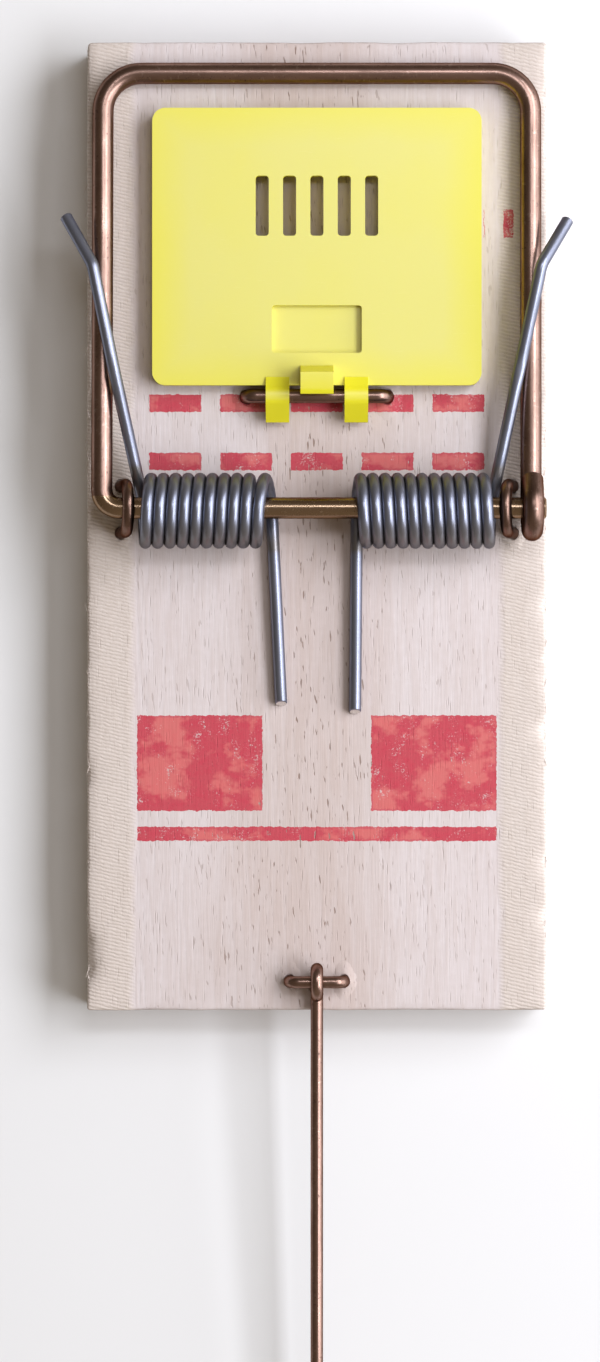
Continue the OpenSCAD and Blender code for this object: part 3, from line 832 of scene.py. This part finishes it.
class SNAPTRAP_OT_springs(bpy.types.Operator):
    """Two torsion springs of close turns, each with a leg on the board and a hooked leg on an arm"""

    bl_idname = "snap_trap.springs"
    bl_label = "Springs"

    crown_to_coil = 1.2 * MM
    droop = 0.5 * MM
    seat = 0.12 * MM
    leg_out = math.radians(11.5)
    hook_out = math.radians(27.5)
    hook_setout = 44.2 * MM
    hook_length = 10.8 * MM
    tip_slope = 0.42
    tip_reach = 0.5 * MM
    dip_share = 0.58
    dip_bend = 14 * MM
    hook_bend = 3.2 * MM

    # Opened first half turn, reach and lean of the leg on the board, slope of the outer leg, its
    # dip over the arm, and fall of its hook.
    shapes = {
        "left": (1.3 * MM, 36 * MM, 1.7 * MM, *map(math.radians, (16.4, 19.5, 20))),
        "right": (0.0, 37.5 * MM, 0.3 * MM, *map(math.radians, (8.3, 0, 28))),
    }

    def execute(self, context):
        sizes = context.scene.trap_sizes
        for name, side, turns in (("left", -1, sizes.left_turns), ("right", 1, sizes.right_turns)):
            opening, leg, lean, slope, dip, fall = self.shapes[name]
            end = AXLE_STAPLE_LOW.x - self.crown_to_coil
            start = end - sizes.coil_pitch * turns - opening
            spring = self.lay_leg(sizes, start, leg, lean)
            self.wind(spring, sizes, start, turns, opening, slope)
            self.run_to_hook(spring, slope, dip, fall)
            mesh = spring.close()
            self.shear_tip(mesh)
            if side < 0:
                bmesh.ops.scale(mesh, vec=(-1, 1, 1), verts=mesh.verts)
                bmesh.ops.reverse_faces(mesh, faces=mesh.faces)
            piece = finished_piece(
                f"spring_{name}_wire", mesh, wire_materials(blued_spring_steel),
                replaces=[f"spring_{name}"],
            )
            inner = Vector((side * (start - sizes.spring_wire / 4), 0, 0))
            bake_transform(piece)
        return {"FINISHED"}

    def shear_tip(self, mesh):
        """Leans the cut face at the leg's tip, so that it looks up and out."""
        layer = mesh.verts.layers.float_vector[LAY]
        tip = [vert for vert in mesh.verts if vert[layer].z < self.tip_reach]
        low = min(vert[layer].x for vert in tip)
        for vert in tip:
            vert.co.y += self.tip_slope * (vert[layer].x - low)

    def lay_leg(self, sizes, start, leg, lean):
        """The leg on the board, from its sheared tip to the bottom of the coil."""
        tip = Vector((start - lean, AXLE.y - leg, BOARD_TOP + sizes.spring_wire / 2 + self.seat))
        way = Vector((start, AXLE.y - self.droop, AXLE.z - sizes.coil_radius)) - tip
        spring = BentWire(sizes.spring_wire, tip, way, UP, sides=20)
        spring.run(way.length - spring.length - 1.2 * MM, 10)
        return spring.aim(FORWARD, 4 * MM)

    def wind(self, spring, sizes, start, turns, opening, slope):
        """The coil; its first half turn may be pulled open, and it ends at the outer leg's slope."""
        coil_y, radius = AXLE.y - self.droop, sizes.coil_radius
        spring.run(max(coil_y - spring.point.y, 0.05 * MM))
        spring.side = UP
        centre = Vector((start, coil_y, AXLE.z))
        for turn, extra in ((math.pi, opening), (math.tau * turns - math.pi + slope, 0)):
            lead = RIGHT * (sizes.coil_pitch * turn / math.tau + extra)
            spring.spin(centre, RIGHT, turn, round(turn / math.radians(12)), lead, radius)

    def run_to_hook(self, spring, slope, dip, fall):
        """The outer leg, which may dip once it is over the arm, and its hook."""

        def way(splay, rise):
            level = math.cos(splay)
            return Vector((math.sin(splay), level * math.cos(rise), level * math.sin(rise)))

        spring.aim(way(self.leg_out, slope), 5 * MM)
        for share, bend, ahead in (
            (self.dip_share, self.dip_bend, way(self.leg_out, slope - dip)),
            (1, self.hook_bend, way(self.hook_out, -fall)),
        ):
            cut_back = bend * math.tan(spring.along.angle(ahead) / 2)
            left = AXLE.y + share * self.hook_setout - spring.point.y
            spring.run(left / spring.along.y - cut_back, 6)
            spring.aim(ahead, bend)
        spring.run(self.hook_length - cut_back, 3)


class SNAPTRAP_OT_staples(bpy.types.Operator):
    """Four wire staples: two round ones over the axle and two square ones that serve as hinge pins"""

    bl_idname = "snap_trap.staples"
    bl_label = "Staples"

    def execute(self, context):
        straight = CROWN_RISE - CROWN_RADIUS
        leg = straight + (AXLE.z - AXLE_STAPLE_LOW.z) / math.cos(STAPLE_LEAN)
        for name, side in (("left", -1), ("right", 1)):
            place = axle_staple_frame(side)
            start = place @ Vector((0, -CROWN_RADIUS, straight - leg))
            staple = BentWire(STAPLE_WIRE, start, place.to_3x3() @ UP, FORWARD)
            staple.run(leg - staple.length, 4).bend(CROWN_RADIUS, math.pi)
            staple.run(leg - STAPLE_WIRE / 2 * staple.chamfer, 4)
            finished_piece(
                f"axle_staple_{name}_wire", staple.close(), wire_materials(copper_wash),
                "base", [f"axle_staple_{name}"],
            )
        self.square_staple("pedal_staple", PEDAL_STAPLE_LOW, PEDAL_STAPLE_HIGH, 2 * MM)
        self.square_staple("lock_bar_staple", LOCK_STAPLE_LOW, LOCK_STAPLE_HIGH, 1.8 * MM)
        return {"FINISHED"}

    @staticmethod
    def square_staple(node, low, high, bend):
        wire = high.y - low.y
        leg = high.z - wire / 2 - bend - low.z
        start = Vector((low.x + wire / 2, (low.y + high.y) / 2, low.z))
        staple = BentWire(wire, start, UP, RIGHT)
        staple.run(leg - staple.length, 4).bend(bend, math.pi / 2)
        staple.run(high.x - low.x - wire - 2 * bend, 6).bend(bend, math.pi / 2)
        staple.run(leg - wire / 2 * staple.chamfer, 4)
        finished_piece(
            f"{node}_wire", staple.close(), wire_materials(copper_wash), "base", [node]
        )


class SNAPTRAP_OT_lock_bar(bpy.types.Operator):
    """Lock bar: a wire with an eye round its staple, stored off the board's rear end"""

    bl_idname = "snap_trap.lock_bar"
    bl_label = "Lock bar"

    eye_wrap = math.radians(264)
    rise = math.radians(3.1)
    fall = math.radians(14.6)
    bend_radius = 8 * MM
    bend_past_axle = 2.4 * MM
    short_of_pivot = 0.3 * MM

    def execute(self, context):
        wire = LOCK_BAR_HIGH.x - LOCK_BAR_LOW.x
        eye = LOCK_BAR_HIGH.y - LOCK_PIVOT.y - wire / 2
        shank = Matrix.Rotation(math.pi + self.rise, 3, RIGHT) @ FORWARD
        out = Matrix.Rotation(math.pi + self.rise, 3, RIGHT) @ UP
        back = Matrix.Rotation(self.eye_wrap, 3, RIGHT)
        bar = BentWire(wire, LOCK_PIVOT + back @ (out * eye), back @ shank, back @ -out)
        bar.bend(eye, self.eye_wrap - bar.length / eye)
        bar.side = -out
        bar.along = shank
        turn = self.rise + self.fall
        tangent = self.bend_radius * math.tan(turn / 2)
        past = (AXLE.y - LOCK_PIVOT.y + self.bend_past_axle) / math.cos(self.rise)
        tip = (PIVOT.y - AXLE.y - self.short_of_pivot - self.bend_past_axle) / math.cos(self.fall)
        bar.run(past - tangent, 10).bend(self.bend_radius, turn)
        bar.run(tip - tangent - wire / 2 * bar.chamfer, 3)
        finished_piece(
            "lock_bar_wire", bar.close(), wire_materials(copper_wash), "lock",
            ["lock_bar"],
        )
        return {"FINISHED"}


class SNAPTRAP_OT_pedal(bpy.types.Operator):
    """Moulded bait pedal with rounded edges"""

    bl_idname = "snap_trap.pedal"
    bl_label = "Bait pedal"

    def execute(self, context):
        mesh = bmesh.new()
        mesh.from_mesh(frame["nodes"]["bait_pedal"].data)
        bmesh.ops.remove_doubles(mesh, verts=mesh.verts, dist=2e-6)
        bmesh.ops.dissolve_limit(
            mesh, angle_limit=math.radians(1.5), verts=mesh.verts, edges=mesh.edges, delimit=set()
        )
        edges = [
            edge for edge in mesh.edges
            if len(edge.link_faces) == 2 and edge.calc_face_angle() > math.radians(40)
        ]
        bmesh.ops.bevel(
            mesh, geom=edges, offset=context.scene.trap_sizes.pedal_edge, offset_type="OFFSET",
            segments=2, profile=0.5, affect="EDGES", material=-1, clamp_overlap=True,
        )
        finished_piece(
            "pedal_moulding", mesh, [moulded_plastic()], "pedal", ["bait_pedal"],
            sharp=60, flat_faces=True,
        )
        return {"FINISHED"}


class SNAPTRAP_OT_stage(bpy.types.Operator):
    """Plain pale floor, soft lamps and the camera straight above"""

    bl_idname = "snap_trap.stage"
    bl_label = "Stage"

    sensor = 36.0
    floor_reach = 12.0
    clip = (0.01, 40)
    lamp_colour = (0.955, 0.985, 1.065)
    room_colour = (1.0, 0.82, 0.61, 1.0)
    brightest_way = (0.8, -0.6, 0.0)
    dimmest, brightest = 0.45, 1.55

    def execute(self, context):
        stage = context.scene.trap_stage
        self.lay_floor()
        self.hang_lamps(stage)
        self.light_room(context.scene, stage.room_strength)
        self.place_camera(context.scene, stage)
        context.scene.view_settings.view_transform = "Standard"
        return {"FINISHED"}

    def lay_floor(self):
        mesh = bmesh.new()
        bmesh.ops.create_grid(mesh, x_segments=2, y_segments=2, size=self.floor_reach)
        data = bpy.data.meshes.new("floor")
        mesh.to_mesh(data)
        mesh.free()
        data.materials.append(studio_floor())
        floor = bpy.data.objects.new("floor", data)
        bpy.context.scene.collection.objects.link(floor)

    def hang_lamps(self, stage):
        aim = Vector((0, 0, BOARD_TOP))
        lamps = (
            ("key_lamp", Vector((0.49, 0.05, 0.57)), FORWARD, (0.9, 0.30), stage.key_power),
            ("side_lamp", Vector((3.60, 0.00, 1.11)), FORWARD, (4.65, 1.78), stage.side_power),
            ("top_lamp", Vector((0.16, 0.27, 0.86)), RIGHT, (0.40, 0.12), stage.top_power),
        )
        for name, place, lengthwise, size, power in lamps:
            data = bpy.data.lights.new(name, "AREA")
            data.shape = "RECTANGLE"
            data.size, data.size_y = size
            data.energy = power
            data.color = self.lamp_colour
            lamp = bpy.data.objects.new(name, data)
            lamp.location = place
            away = (place - aim).normalized()
            across = away.cross(lengthwise).normalized()
            lamp.rotation_euler = Matrix((across.cross(away), across, away)).transposed().to_euler()
            bpy.context.scene.collection.objects.link(lamp)

    def light_room(self, scene, strength):
        """Soft light from the room, dimmer behind and at the left, away from the lamps."""
        world = bpy.data.worlds.new("room")
        world.use_nodes = True
        tree = world.node_tree
        way = tree.nodes.new("ShaderNodeTexCoord").outputs["Generated"]
        toward = tree.nodes.new("ShaderNodeVectorMath")
        toward.operation = "DOT_PRODUCT"
        toward.inputs[1].default_value = self.brightest_way
        across = tree.nodes.new("ShaderNodeMapRange")
        tree.links.new(way, toward.inputs[0])
        tree.links.new(toward.outputs["Value"], across.inputs["Value"])
        across.inputs["From Min"].default_value = -1.0
        across.inputs["To Min"].default_value = strength * self.dimmest
        across.inputs["To Max"].default_value = strength * self.brightest
        tree.links.new(across.outputs["Result"], tree.nodes["Background"].inputs["Strength"])
        tree.nodes["Background"].inputs["Color"].default_value = self.room_colour
        scene.world = world

    def place_camera(self, scene, stage):
        """Straight down, framed so that the axle's middle falls on its column and row."""
        columns, rows = IMAGE_SIZE
        data = bpy.data.cameras.new("camera")
        data.sensor_width = self.sensor
        data.lens = self.sensor * stage.camera_height / (rows / stage.pixels_a_metre)
        camera = bpy.data.objects.new("camera", data)
        camera.location = (
            (columns / 2 - stage.axle_column) / stage.pixels_a_metre,
            AXLE.y + (stage.axle_row - rows / 2) / stage.pixels_a_metre,
            AXLE.z + stage.camera_height,
        )
        data.clip_start, data.clip_end = self.clip
        scene.collection.objects.link(camera)
        scene.camera = camera


class SNAPTRAP_PT_panel(bpy.types.Panel):
    """Lists the trap's pieces, sizes and finishes"""

    bl_idname = "SNAPTRAP_PT_panel"
    bl_label = "Snap Trap"
    bl_space_type = "VIEW_3D"
    bl_region_type = "UI"
    bl_category = "Snap Trap"

    def draw(self, context):
        for operator in OPERATORS:
            self.layout.operator(operator.bl_idname)
        for _, name in GROUPS:
            group = getattr(context.scene, name)
            box = self.layout.box()
            for key in group.bl_rna.properties.keys():
                if key not in ("rna_type", "name"):
                    box.prop(group, key)


OPERATORS = (
    SNAPTRAP_OT_board,
    SNAPTRAP_OT_kill_bar,
    SNAPTRAP_OT_springs,
    SNAPTRAP_OT_staples,
    SNAPTRAP_OT_pedal,
    SNAPTRAP_OT_lock_bar,
    SNAPTRAP_OT_stage,
)
GROUPS = ((TrapSizes, "trap_sizes"), (TrapColours, "trap_colours"), (TrapStage, "trap_stage"))


def register():
    for group, name in GROUPS:
        bpy.utils.register_class(group)
        setattr(bpy.types.Scene, name, PointerProperty(type=group))
    for listed in (*OPERATORS, SNAPTRAP_PT_panel):
        bpy.utils.register_class(listed)


def unregister():
    for listed in (SNAPTRAP_PT_panel, *reversed(OPERATORS)):
        bpy.utils.unregister_class(listed)
    for group, name in reversed(GROUPS):
        delattr(bpy.types.Scene, name)
        bpy.utils.unregister_class(group)


def main():
    register()
    bpy.ops.snap_trap.board()
    bpy.ops.snap_trap.kill_bar()
    bpy.ops.snap_trap.springs()
    bpy.ops.snap_trap.staples()
    bpy.ops.snap_trap.pedal()
    bpy.ops.snap_trap.lock_bar()
    bpy.ops.snap_trap.stage()


if __name__ == "__main__":
    main()
